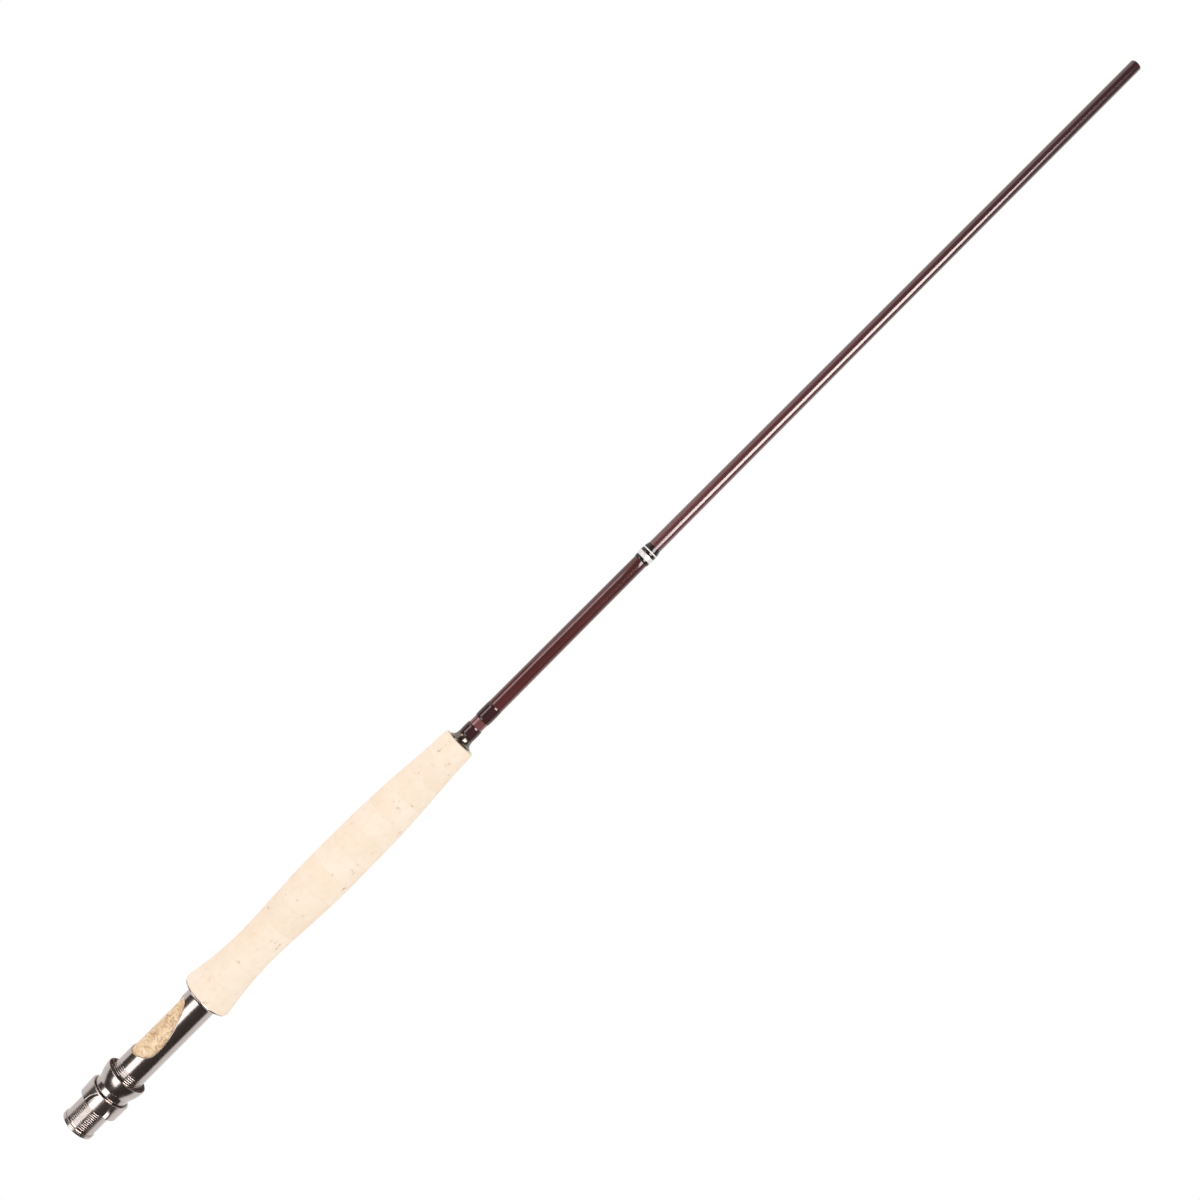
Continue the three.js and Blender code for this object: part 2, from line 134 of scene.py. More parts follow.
def second_finish(piece, material, chosen):
    """Another material on some faces. chosen gets three arrays: x and radius of the middles of the faces, in
    mm, and how far the faces point away from the middle line, from -1 to 1."""
    faces = piece.data.polygons
    centre, normal = np.empty((len(faces), 3)), np.empty((len(faces), 3))
    faces.foreach_get("center", centre.ravel())
    faces.foreach_get("normal", normal.ravel())
    radius = np.hypot(centre[:, 1], centre[:, 2])
    outward = (normal[:, 1] * centre[:, 1] + normal[:, 2] * centre[:, 2]) / radius
    picked = chosen(centre[:, 0] / mm, radius / mm, outward)
    piece.data.materials.append(material)
    faces.foreach_set("material_index", picked.astype(np.int32))
    print(f"{material.name} on {picked.sum()} faces of {piece.name}")


# %% [markdown]
# ## Finishes: shared effects
# Three effects are used by more than one finish, so each is a node group with named inputs. The first turns
# the place of a point into the numbers used above: along the rod, angle round it and distance from its
# middle. The second gives a slow drift of tone, as no real surface is even. The third makes fine lines that
# run round the rod, as a lathe tool, a wound thread or a sanding belt leaves them.

# %% Node helpers and groups
def wire(tree, source, target):
    tree.links.new(source, target)


def add_node(tree, kind, **values):
    """A node with its properties and unlinked inputs set. Input names are written with _ for spaces."""
    node = tree.nodes.new(kind)
    for key, value in values.items():
        socket = node.inputs.get(key.replace("_", " "))
        if socket is None:
            setattr(node, key, value)
        else:
            socket.default_value = value
    return node


def math(tree, operation, a, b=0.0, c=0.0, clamp=False):
    """Output of a Math node. Each operand is a number or the output of another node."""
    node = tree.nodes.new("ShaderNodeMath")
    node.operation = operation
    node.use_clamp = clamp
    for socket, value in zip(node.inputs, (a, b, c)):
        if isinstance(value, (int, float)):
            socket.default_value = value
        else:
            tree.links.new(value, socket)
    return node.outputs[0]


def new_group(name, inputs, outputs):
    tree = bpy.data.node_groups.new(name, "ShaderNodeTree")
    for label, kind, default in inputs:
        socket = tree.interface.new_socket(name=label, in_out="INPUT", socket_type=kind)
        socket.default_value = default
    for label, kind in outputs:
        tree.interface.new_socket(name=label, in_out="OUTPUT", socket_type=kind)
    return tree, tree.nodes.new("NodeGroupInput"), tree.nodes.new("NodeGroupOutput")


def make_rod_place():
    names = ("Along", "Angle", "Radius")
    tree, _, out = new_group("Rod place", [], [(label, "NodeSocketFloat") for label in names])
    place = add_node(tree, "ShaderNodeTexCoord")
    parts = add_node(tree, "ShaderNodeSeparateXYZ")
    wire(tree, place.outputs["Object"], parts.inputs[0])
    along = math(tree, "MULTIPLY", parts.outputs[0], 1000.0)
    angle = math(tree, "ARCTAN2", parts.outputs[1], parts.outputs[2])
    square_y = math(tree, "POWER", parts.outputs[1], 2.0)
    square = math(tree, "MULTIPLY_ADD", parts.outputs[2], parts.outputs[2], square_y)
    radius = math(tree, "MULTIPLY", math(tree, "SQRT", square), 1000.0)
    for label, value in zip(names, (along, angle, radius)):
        wire(tree, value, out.inputs[label])
    return tree


def make_tone_drift():
    inputs = (("Size", 100.0), ("Stretch", 1.0), ("Seed", 0.0))
    tree, ins, out = new_group(
        "Tone drift",
        [(label, "NodeSocketFloat", default) for label, default in inputs],
        [("Drift", "NodeSocketFloat")],
    )
    place = add_node(tree, "ShaderNodeTexCoord")
    parts = add_node(tree, "ShaderNodeSeparateXYZ")
    joined = add_node(tree, "ShaderNodeCombineXYZ")
    wire(tree, place.outputs["Object"], parts.inputs[0])
    wire(tree, math(tree, "MULTIPLY", parts.outputs[0], ins.outputs["Stretch"]), joined.inputs[0])
    wire(tree, parts.outputs[1], joined.inputs[1])
    wire(tree, parts.outputs[2], joined.inputs[2])
    noise = add_node(tree, "ShaderNodeTexNoise", noise_dimensions="4D", Detail=4.0, Roughness=0.55)
    wire(tree, joined.outputs[0], noise.inputs["Vector"])
    wire(tree, ins.outputs["Size"], noise.inputs["Scale"])
    wire(tree, ins.outputs["Seed"], noise.inputs["W"])
    wire(tree, noise.outputs[0], out.inputs[0])
    return tree


def make_turning_lines():
    tree, ins, out = new_group(
        "Turning lines",
        [("Spacing", "NodeSocketFloat", 0.2), ("Waver", "NodeSocketFloat", 0.0)],
        [("Height", "NodeSocketFloat")],
    )
    place = add_node(tree, "ShaderNodeGroup", node_tree=bpy.data.node_groups["Rod place"])
    drift = add_node(tree, "ShaderNodeGroup", node_tree=bpy.data.node_groups["Tone drift"])
    drift.inputs["Size"].default_value = 900.0
    shifted = math(tree, "MULTIPLY_ADD", drift.outputs[0], ins.outputs["Waver"], place.outputs["Along"])
    phase = math(tree, "DIVIDE", shifted, ins.outputs["Spacing"])
    wave = math(tree, "SINE", math(tree, "MULTIPLY", phase, 2 * np.pi))
    wire(tree, math(tree, "MULTIPLY_ADD", wave, 0.5, 0.5), out.inputs[0])
    return tree


for make in (make_rod_place, make_tone_drift, make_turning_lines):
    group = make()
    print("group", group.name, "with", len(group.nodes), "nodes")


# %% Helpers to place a group, a ramp and a bump in a material
def new_material(name, **constants):
    """Material with a Principled BSDF whose constant sockets are set here."""
    material = bpy.data.materials.new(name)
    material.use_nodes = True
    tree = material.node_tree
    shader = tree.nodes["Principled BSDF"]
    for key, value in constants.items():
        shader.inputs[key.replace("_", " ")].default_value = value
    return material, tree, shader


def place_group(tree, name, **values):
    node = add_node(tree, "ShaderNodeGroup", node_tree=bpy.data.node_groups[name])
    for key, value in values.items():
        node.inputs[key].default_value = value
    return node


def ramp(tree, value, stops):
    """Colour output of an even ramp through (position, (red, green, blue)) stops."""
    node = tree.nodes.new("ShaderNodeValToRGB")
    while len(node.color_ramp.elements) < len(stops):
        node.color_ramp.elements.new(0.5)
    for element, (position, colour) in zip(node.color_ramp.elements, stops):
        element.position = position
        element.color = (*colour, 1.0)
    wire(tree, value, node.inputs[0])
    return node.outputs[0]


def scaled(tree, value, low, high):
    """Value times (high - low) plus low."""
    return math(tree, "MULTIPLY_ADD", value, high - low, low)


def mixed(tree, share, a, b, blend_type="MIX"):
    """Colour mix of a and b. Each is a colour or an output; share is a number or an output."""
    node = add_node(tree, "ShaderNodeMix", data_type="RGBA", blend_type=blend_type)
    for socket, value in ((node.inputs[0], share), (node.inputs[6], a), (node.inputs[7], b)):
        if isinstance(value, bpy.types.NodeSocket):
            wire(tree, value, socket)
        elif isinstance(value, tuple):
            socket.default_value = (*value, 1.0)
        else:
            socket.default_value = value
    return node.outputs[2]


def bump(tree, shader, height, distance, strength=1.0, socket="Normal"):
    node = add_node(tree, "ShaderNodeBump", Strength=strength, Distance=distance)
    wire(tree, height, node.inputs["Height"])
    wire(tree, node.outputs[0], shader.inputs[socket])


# %% [markdown]
# ## Black nickel
# The hardware is aluminium, polished and plated a dark grey with a warm cast. It shows the studio as a
# mirror does, so its look comes from a high metallic value, a low roughness that drifts a little, and very
# fine lines left by the lathe. The nut is a little duller than the rest and the inside of the bell is duller
# still. The winding check is darker. The recess of the nut gets the same darker finish as painted shade.

# %% Finish of the hardware
def make_black_nickel(name, colour, roughness):
    material, tree, shader = new_material(name, Metallic=1.0)
    drift = place_group(tree, "Tone drift", Size=220.0)
    lines = place_group(tree, "Turning lines", Spacing=0.31, Waver=0.15)
    tone = ramp(tree, drift.outputs[0], [(0.35, tuple(0.92 * c for c in colour)), (0.65, colour)])
    wire(tree, tone, shader.inputs["Base Color"])
    fine = math(tree, "MULTIPLY_ADD", lines.outputs[0], 0.15, drift.outputs[0])
    wire(tree, scaled(tree, fine, roughness * 0.85, roughness * 1.1), shader.inputs["Roughness"])
    bump(tree, shader, drift.outputs[0], 0.000004, 0.3)
    return material


black_nickel = make_black_nickel("black_nickel", (0.55, 0.485, 0.455), 0.22)
satin_nickel = make_black_nickel("satin_nickel", (0.58, 0.51, 0.48), 0.26)
bare_bore = make_black_nickel("bare_bore", (0.62, 0.55, 0.52), 0.50)
# This is the winding check's own dark colour. On the recess of the nut it is painted shade in the gap.
dark_check_and_recess_shade = make_black_nickel("dark_check_and_recess_shade", (0.20, 0.175, 0.15), 0.24)
print("hardware finishes:", black_nickel.name, satin_nickel.name, bare_bore.name, dark_check_and_recess_shade.name)

# %% [markdown]
# ## Burl under lacquer
# The insert is a slip of burl. Its figure is a net of short, twisted grain with darker flecks, in tones of
# cream and tan. Noise whose place is bent by more noise gives the twist, and Voronoi cells give the eyes.

# %% Finish of the wooden insert
def make_burl():
    material, tree, shader = new_material("burl", Coat_Weight=0.25, Coat_Roughness=0.3)
    place = add_node(tree, "ShaderNodeTexCoord")
    bend = add_node(tree, "ShaderNodeTexNoise", Scale=110.0, Detail=3.0)
    bent = add_node(tree, "ShaderNodeVectorMath", operation="MULTIPLY_ADD")
    bent.inputs[1].default_value = (0.012, 0.012, 0.012)
    wire(tree, place.outputs["Object"], bend.inputs["Vector"])
    wire(tree, bend.outputs["Color"], bent.inputs[0])
    wire(tree, place.outputs["Object"], bent.inputs[2])
    figure = add_node(tree, "ShaderNodeTexNoise", Scale=360.0, Detail=8.0, Roughness=0.66, Distortion=1.2)
    eyes = add_node(tree, "ShaderNodeTexVoronoi", Scale=400.0, Randomness=1.0)
    wire(tree, bent.outputs[0], figure.inputs["Vector"])
    wire(tree, bent.outputs[0], eyes.inputs["Vector"])
    base = ramp(tree, figure.outputs[0], [
        (0.32, (0.30, 0.16, 0.075)), (0.42, (0.62, 0.40, 0.22)), (0.51, (0.86, 0.61, 0.36)),
        (0.64, (0.95, 0.75, 0.50)),
    ])
    flecks = ramp(tree, eyes.outputs["Distance"], [(0.05, (0.42, 0.26, 0.14)), (0.22, (1.0, 1.0, 1.0))])
    wire(tree, mixed(tree, 0.55, base, flecks, "MULTIPLY"), shader.inputs["Base Color"])
    wire(tree, scaled(tree, figure.outputs[0], 0.35, 0.6), shader.inputs["Roughness"])
    bump(tree, shader, figure.outputs[0], 0.00004, 0.3)
    return material


burl = make_burl()
print("finish:", burl.name)

# %% [markdown]
# ## Cork
# Cork is cream with a peach drift. Each ring comes from another piece of bark, so its tone and its pits
# differ a little from its neighbour's, and a hair-thin glue line parts them. The pits are small, dark and
# slightly drawn out, and most of the surface has none.

# %% Finish of the grip
ring_count = 14
ring_length = grip_length / ring_count


def make_cork():
    material, tree, shader = new_material("cork", Roughness=0.8, Specular_IOR_Level=0.25)
    place = place_group(tree, "Rod place")
    count = math(tree, "DIVIDE", math(tree, "SUBTRACT", place.outputs["Along"], seat_length), ring_length)
    index = math(tree, "FLOOR", count)
    own = add_node(tree, "ShaderNodeTexWhiteNoise", noise_dimensions="1D")
    wire(tree, index, own.inputs["W"])
    seed = math(tree, "MULTIPLY", own.outputs["Value"], 40.0)
    slow = place_group(tree, "Tone drift", Size=55.0)
    fine = place_group(tree, "Tone drift", Size=420.0, Stretch=0.7)
    rare = place_group(tree, "Tone drift", Size=85.0)
    for node in (slow, fine, rare):
        wire(tree, seed, node.inputs["Seed"])
    tone = ramp(tree, slow.outputs[0], [
        (0.32, (0.97, 0.80, 0.63)), (0.50, (0.98, 0.84, 0.69)), (0.66, (0.99, 0.88, 0.74)),
    ])
    shade = ramp(tree, own.outputs["Value"], [(0.0, (0.975, 0.96, 0.94)), (1.0, (1.0, 1.0, 1.0))])
    tinted = mixed(tree, 1.0, tone, shade, "MULTIPLY")
    grain = ramp(tree, fine.outputs[0], [(0.36, (0.93, 0.90, 0.87)), (0.55, (1.0, 1.0, 1.0))])
    grained = mixed(tree, 0.4, tinted, grain, "MULTIPLY")
    here = math(tree, "MULTIPLY_ADD", rare.outputs[0], 6.0, -3.0, clamp=True)
    speck = math(tree, "MULTIPLY_ADD", fine.outputs[0], -18.0, 7.0, clamp=True)
    pit = math(tree, "MULTIPLY", here, speck)
    pitted = mixed(tree, pit, grained, (0.42, 0.27, 0.15))
    near = math(tree, "PINGPONG", count, 0.5)
    joint = math(tree, "MULTIPLY_ADD", near, -60.0, 1.0, clamp=True)
    joint = math(tree, "MULTIPLY", joint, scaled(tree, fine.outputs[0], 0.0, 0.3))
    wire(tree, mixed(tree, joint, pitted, (0.66, 0.47, 0.31)), shader.inputs["Base Color"])
    height = math(tree, "SUBTRACT", fine.outputs[0], math(tree, "MULTIPLY", pit, 1.5))
    bump(tree, shader, height, 0.00012, 0.5)
    return material


cork = make_cork()
print("finish:", cork.name)

# %% [markdown]
# ## Lacquered carbon
# The blank is wound from carbon cloth, lacquered a deep maroon and polished. Under the gloss, faint streaks
# run along it. A clear coat over a duller base gives both: the streaks sit in the base, and the coat keeps
# the sharp line of light. Towards the tip the lacquer darkens. The share of the dark tone is 0.78 s^0.6, and
# s runs from 0 at 270 mm, just past the grip, to 1 at 700 mm.

# %% Finish of the blank
darkens_from, darkens_to = 270.0, 700.0


def make_lacquer(name, dark, light, coat_roughness, base_gloss=0.4):
    """The base is matt or glossy by base_gloss, and the coat over it is sharp or soft by coat_roughness."""
    material, tree, shader = new_material(
        name, Specular_IOR_Level=base_gloss, Coat_Weight=1.0, Coat_Roughness=coat_roughness, Coat_IOR=1.5
    )
    streaks = place_group(tree, "Tone drift", Size=1500.0, Stretch=0.02)
    cloud = place_group(tree, "Tone drift", Size=60.0, Stretch=0.4)
    tone = math(tree, "MULTIPLY_ADD", cloud.outputs[0], 0.4, math(tree, "MULTIPLY", streaks.outputs[0], 0.6))
    flat = ramp(tree, tone, [(0.38, dark), (0.62, light)])
    place = place_group(tree, "Rod place")
    along = math(tree, "SUBTRACT", place.outputs["Along"], darkens_from)
    along = math(tree, "DIVIDE", along, darkens_to - darkens_from, clamp=True)
    shade = math(tree, "MULTIPLY", math(tree, "POWER", along, 0.6), 0.78)
    wire(tree, mixed(tree, shade, flat, (0.010, 0.006, 0.007)), shader.inputs["Base Color"])
    wire(tree, scaled(tree, streaks.outputs[0], 0.18, 0.26), shader.inputs["Roughness"])
    bump(tree, shader, streaks.outputs[0], 0.000002, 0.3)
    return material


maroon = make_lacquer("maroon_lacquer", (0.175, 0.052, 0.055), (0.225, 0.068, 0.072), 0.10)
label_red = make_lacquer("clear_coat_over_maroon", (0.104, 0.023, 0.023), (0.137, 0.033, 0.033), 0.05, 0.1)
print("finishes:", maroon.name, label_red.name)

# %% [markdown]
# ## Wound thread under epoxy
# Wraps are fine thread, wound turn against turn and covered with clear epoxy. The turns show as close lines
# round the rod under a wet gloss, so they go into the colour and the base's bump, while the coat on top has
# a normal of its own and stays smooth.

# %% Finishes of the wraps
def make_thread(name, dark, light, metallic):
    material, tree, shader = new_material(
        name, Metallic=metallic, Roughness=0.5, Specular_IOR_Level=0.05, Coat_Weight=1.0,
        Coat_Roughness=0.04, Coat_IOR=1.5,
    )
    lines = place_group(tree, "Turning lines", Spacing=0.16, Waver=0.05)
    drift = place_group(tree, "Tone drift", Size=500.0)
    tone = math(tree, "MULTIPLY_ADD", drift.outputs[0], 0.5, math(tree, "MULTIPLY", lines.outputs[0], 0.5))
    wire(tree, ramp(tree, tone, [(0.25, dark), (0.75, light)]), shader.inputs["Base Color"])
    bump(tree, shader, lines.outputs[0], 0.00001, 0.3)
    bump(tree, shader, drift.outputs[0], 0.000004, 0.05, "Coat Normal")
    return material


maroon_thread = make_thread("maroon_thread", (0.032, 0.009, 0.009), (0.062, 0.018, 0.017), 0.0)
black_thread = make_thread("black_thread", (0.009, 0.005, 0.004), (0.030, 0.019, 0.017), 0.0)
silver_thread = make_thread("silver_thread", (0.66, 0.66, 0.66), (0.95, 0.94, 0.94), 0.5)
print("finishes:", maroon_thread.name, black_thread.name, silver_thread.name)

# %% [markdown]
# ## Butt cap and barrel
# The cap is a shallow turned button with a fine groove near its seam. The barrel is one tube: 37 turns of
# thread at the butt, then plain, with a teardrop window cut in its side. A tube with a hole is awkward to
# turn as one surface, so the tube is slit along the window's middle line, and the slit opens by the window's
# half-width at each place. Where it is shut, its two sides are welded.

# %% Butt cap
barrel_radius = 8.38
barrel_bore = 7.62
barrel_end = seat_length + 11.0
inside_barrel = barrel_bore - bond_gap
cap_length, cap_radius, spigot_end = 1.9, 8.9, 8.2


def cap_outline():
    """[x, radius] corners of the cap, with a V groove 0.12 mm deep, then rounded."""
    corners = [
        [0, 0], [0, cap_radius], [1.1, cap_radius], [1.2, cap_radius - 0.12], [1.3, cap_radius],
        [cap_length, cap_radius], [cap_length, inside_barrel], [spigot_end, inside_barrel], [spigot_end, 0],
    ]
    return softened(corners, [0, 0.5, 0.02, 0.02, 0.02, 0.12, 0, 0.3, 0], steps=7)


add_piece("polished_butt_cap", [revolved(cap_outline())], black_nickel, "rod", ["butt_cap"])

# %% Barrel with its thread and window
window_start = 45.3
window_length = 35.6
window_angle, widest_half = np.radians(65), np.radians(83)
window_shares = np.array([
    [0, 0], [0.0025, 0.12], [0.006, 0.24], [0.013, 0.36], [0.032, 0.5], [0.06, 0.645], [0.115, 0.86],
    [0.18, 0.965], [0.26, 1], [0.365, 1], [0.49, 0.94], [0.61, 0.86], [0.72, 0.74], [0.82, 0.645],
    [0.92, 0.48], [0.98, 0.32], [0.994, 0.18], [0.9985, 0.08], [1, 0],
])
thread_start, thread_end, thread_pitch, thread_depth = 2.4, 39.0, 1.0, 0.08


def flowing(points, steps):
    """Curve through points. Between P1 and P2 it is the cubic whose slopes at its ends are (P2 - P0) / 2 and
    (P3 - P1) / 2."""
    points = np.asarray(points, float)
    padded = np.vstack([points[:1], points, points[-1:]])
    p0, p1, p2, p3 = (part[:, None] for part in (padded[:-3], padded[1:-2], padded[2:-1], padded[3:]))
    t = np.linspace(0, 1, steps, endpoint=False)[None, :, None]
    v1, v2 = (p2 - p0) / 2, (p3 - p1) / 2
    curve = (2 * p1 - 2 * p2 + v1 + v2) * t**3 + (3 * p2 - 3 * p1 - 2 * v1 - v2) * t**2 + v1 * t + p1
    return np.vstack([curve.reshape(-1, 2), points[-1:]])


def window_half_angle(x):
    """Half-width of the window at x, in radians: the widest one times the share on the smoothed outline."""
    share = (x - window_start) / window_length
    line = flowing(window_shares, 6)
    return widest_half * np.interp(share, line[:, 0], np.maximum(line[:, 1], 0), left=0, right=0)


def thread_cut(x, angle):
    """Depth of the thread at a point. The ridge is 2.5 times the cosine of 2 pi (x / pitch + angle / 2 pi),
    cut off at -1 and 1, so its crest and root are flat and the slopes between them short. It fades out over
    one pitch at both ends."""
    phase = 2 * np.pi * (x / thread_pitch + angle / (2 * np.pi))
    ridge = (1 + np.clip(2.5 * np.cos(phase), -1, 1)) / 2
    fade = np.clip(np.minimum(x - thread_start, thread_end - x) / thread_pitch, 0, 1)
    return thread_depth * (1 - ridge) * fade


def barrel_grids(columns=144):
    """Outside, inside, two ends and the two sides of the slit. The angle of column j is the window's middle,
    plus the half-width h, plus (2 pi - 2 h) j / columns."""
    row_step, lip_width = 0.08, 0.12
    thread_rows = np.arange(thread_start, thread_end + row_step / 2, row_step)
    share = (1 - np.cos(np.linspace(0, np.pi, 90))) / 2
    window_rows = window_start + window_length * share
    rows = np.concatenate([[cap_length], thread_rows, window_rows, [barrel_end]])
    half = window_half_angle(rows)
    half[(rows <= window_start) | (rows >= window_start + window_length - 1e-6)] = 0
    edge = np.minimum(lip_width / barrel_radius, half * 0.5)
    j = np.linspace(0, 1, columns + 1)[None, :]
    turn = window_angle + (half + edge)[:, None] + (2 * np.pi - 2 * (half + edge)[:, None]) * j
    x = rows[:, None]
    outer = around(x, barrel_radius - thread_cut(x, turn), turn)
    inner = around(x, barrel_bore, turn)
    ends = [np.stack([outer[i], inner[i]]) for i in (0, -1)]
    cut = half > 0
    reach = np.concatenate([[np.argmax(cut) - 1], np.nonzero(cut)[0], [len(cut) - np.argmax(cut[::-1])]])
    walls = []
    for side, column in ((1, 0), (-1, -1)):
        lip = window_angle + side * (half + edge * 0.3)
        wall = window_angle + side * half
        steps = [
            outer[:, column], around(rows, barrel_radius - 0.035, lip),
            around(rows, barrel_radius - lip_width, wall), around(rows, barrel_bore + 0.1, wall),
            inner[:, column],
        ]
        walls.append(np.stack(steps, axis=1)[reach])
    plain = np.r_[0, len(thread_rows) + 1 : len(rows)]
    return [outer, inner[plain], *ends, *walls]


barrel_parts = barrel_grids()
print("barrel outside:", barrel_parts[0].shape[:2], "points")
add_piece("threaded_barrel", barrel_parts, black_nickel, "rod", ["seat_barrel"])

# %% Burl insert
insert_start, insert_bore = 8.5, 5.26
insert_corners = [
    [insert_start, insert_bore], [insert_start, inside_barrel], [barrel_end, inside_barrel],
    [barrel_end, insert_bore],
]
insert_outline = softened(insert_corners, 0.2)
add_piece("burl_insert", [revolved(insert_outline)], burl, "rod", ["seat_insert"])

# %% [markdown]
# ## Fixed hood
# The hood at the grip is a shell sunk in the cork with a thin trumpet flange outside it. Under the rod, a
# pocket is left between shell and barrel for the foot of the reel. The surface is a full turn of one
# section, and the section's inner radius is wider in the sector of the pocket.

# %% Flange, shell and pocket
flange_radius, shell_radius, pocket_radius = 12.6, 11.2, 10.7
hood_bore = 8.44


def fixed_hood_grid():
    """Sections round the rod. The front of the flange is a quarter ellipse, x = front + 2.5 sqrt(1 - k^2) and
    k = (flange - radius) / 4.16, and it starts from the radius of the bore or of the pocket."""
    middle, half, step = window_angle + np.pi, np.radians(42), np.radians(0.4)
    free = np.linspace(middle + half, middle + 2 * np.pi - half, 110)
    pocket = np.linspace(middle - half + step, middle + half - step, 36) + 2 * np.pi
    turn = np.concatenate([free, pocket, free[:1] + 2 * np.pi])
    in_pocket = (turn > pocket[0] - step / 2) & (turn < pocket[-1] + step / 2)
    inner = np.where(in_pocket, pocket_radius, hood_bore)
    bore = np.full_like(turn, hood_bore)
    front, flat = seat_length - 3, np.ones_like(turn)
    rise = np.linspace(0, 1, 16)[:, None]
    radius = inner + (flange_radius - inner) * (1 - np.cos(rise * np.pi / 2))
    curve_x = front + 2.5 * np.sqrt(np.clip(1 - ((flange_radius - radius) / 4.16) ** 2, 0, 1))
    rim = [(-0.48, flange_radius), (-0.15, flange_radius), (0, flange_radius - 0.1), (0, shell_radius)]
    rim += [(7.9, shell_radius), (8.0, shell_radius - 0.1)]
    rows_x = [curve_x, *((seat_length + x) * flat[None] for x, _ in rim)]
    rows_r = [radius, *(r * flat[None] for _, r in rim)]
    for x, r in ((8.0, bore), (7.2, bore), (7.2, inner)):
        rows_x.append((seat_length + x) * flat[None])
        rows_r.append(r[None])
    rows_x.append(curve_x[:1])
    rows_r.append(radius[:1])
    return around(np.vstack(rows_x), np.vstack(rows_r), turn[None])


add_piece("trumpet_hood", [fixed_hood_grid()], black_nickel, "rod", ["fixed_hood"])

# %% [markdown]
# ## Lock nut
# The nut has three scoops for the thumb, milled between lobes. A scoop has a floor at one distance from the
# middle and hollow sides. It runs out through the butt end and closes in an arch under the rim. A grid
# whose columns follow the arch keeps the edge clean: each third of a turn is split into floor, side and
# lobe, and only the share of each changes with the height.

# %% Nut with its scoops
nut_length = 8.0
nut_radius = 10.95
thread_bore, neck_bore, ring_groove, recess_radius = 8.48, 9.22, 9.46, 10.1
scoop_top, scoop_floor = 7.2, 9.45
scoop_angle = np.radians(-5)
floor_share, side_share = 0.45, 0.3


def nut_grid(columns=66):
    """Outline of the nut times a full turn. u runs from -1 to 1 in each third. Its size picks the angle: up
    to 0.45 the floor, up to 0.75 the side, then the lobe. A side rises evenly across its width. The
    half-angle of the arch is 39 - 15 (x / top)^2.5 degrees, and the floor takes 0.8 of it."""
    profile = [(0, thread_bore), (0, 10.72), (0.06, 10.86), (0.25, nut_radius)]
    profile += [(x, nut_radius + 0.1 * x / nut_length) for x in np.linspace(0.6, 7.0, 17)]
    profile += [(7.12, 11.04), (scoop_top, 11.04), (7.23, 11.04), (7.34, 11.04), (7.88, 11.05), (7.97, 11.02)]
    profile += [(nut_length, nut_radius), (nut_length, recess_radius + 0.08), (7.93, recess_radius)]
    profile += [(7.5, recess_radius), (7.5, neck_bore), (5.9, neck_bore), (5.9, ring_groove)]
    profile += [(5.2, ring_groove), (5.2, neck_bore), (3.3, neck_bore), (3.3, thread_bore), (0, thread_bore)]
    x, radius = np.array(profile).T[:, :, None]
    u = np.linspace(-1, 1, columns, endpoint=False)[None, :]
    share = np.clip(x / scoop_top, 0, 1)
    rim = np.radians(39 + (24 - 39) * share**2.5)
    floor, third = 0.8 * rim, np.radians(60)
    size = np.abs(u)
    arch_share = floor_share + side_share
    on_floor = floor * size / floor_share
    on_side = floor + (rim - floor) * (size - floor_share) / side_share
    on_lobe = rim + (third - rim) * (size - arch_share) / (1 - arch_share)
    in_arch = np.where(size < floor_share, on_floor, on_side)
    angle = np.sign(u) * np.where(size < arch_share, in_arch, on_lobe)
    across = np.clip((size - floor_share) / side_share, 0, 1)
    depth = np.clip((7.27 - x) / 0.12, 0, 1)
    low = scoop_floor + 0.3 * share
    cut = low + (radius - low) * across
    radius = np.where(radius > 9.75, radius + (np.minimum(cut, radius) - radius) * depth, radius)
    radius, x = np.broadcast_arrays(radius, x + 0 * angle)
    parts = [(x, radius, angle + scoop_angle + k * 2 * np.pi / 3) for k in range(3)]
    turned = [np.concatenate(values, axis=1) for values in zip(*parts)]
    grid = around(nut_start + turned[0], turned[1], turned[2])
    return np.concatenate([grid, grid[:, :1]], axis=1)


nut = add_piece("scooped_nut", [nut_grid()], satin_nickel, "nut", ["lock_nut"])
# Painted shade: the recess faces at the top of the nut get the darker check finish.
painted_shade_in_recess = lambda x, radius, outward: (x > nut_start + 7.4) & (radius < recess_radius + 0.05)
second_finish(nut, dark_check_and_recess_shade, painted_shade_in_recess)

# %% [markdown]
# ## Sliding hood
# The sliding hood is turned: a neck that sits in the nut, a straight collar, and a bell whose mouth clamps
# the foot of the reel. The bell swells fast at first and then runs level into the mouth, so a quarter of a
# sine wave carries the radius from the collar to the mouth, outside and inside.

# %% Neck, collar and bell
def swelling(start, end, steps=24):
    """Points from start to end whose radius follows sin(pi s / 2) as x goes evenly with s."""
    s = np.linspace(0, 1, steps)[:, None]
    (x0, r0), (x1, r1) = start, end
    return np.hstack([x0 + (x1 - x0) * s, r0 + (r1 - r0) * np.sin(np.pi * s / 2)])


slide_bore, neck_radius, collar_radius, mouth_radius = 8.5, 9.1, 9.4, 11.3
bell_start, mouth_start = 11.3, 18.8


def hood_outline():
    """[x, radius] points, with x counted from the butt face of the nut."""
    neck = [[4.0, slide_bore], [4.0, 9.05], [4.05, neck_radius], [5.2, neck_radius], [5.2, 8.8], [5.9, 8.8]]
    neck += [[5.9, neck_radius], [7.6, neck_radius]]
    collar = [[7.6, 9.35], [7.65, collar_radius], [11.1, collar_radius]]
    bell = swelling((bell_start, collar_radius), (mouth_start, mouth_radius))
    lip = [[19.1, mouth_radius], [19.23, 11.27], [19.3, 11.17], [19.3, 11.05], [19.24, 10.97]]
    cavity = swelling((bell_start, 8.95), (mouth_start, 10.95))[::-1]
    points = np.vstack([neck, collar, bell, lip, cavity, [[bell_start, slide_bore]]])
    return points + [nut_start, 0]


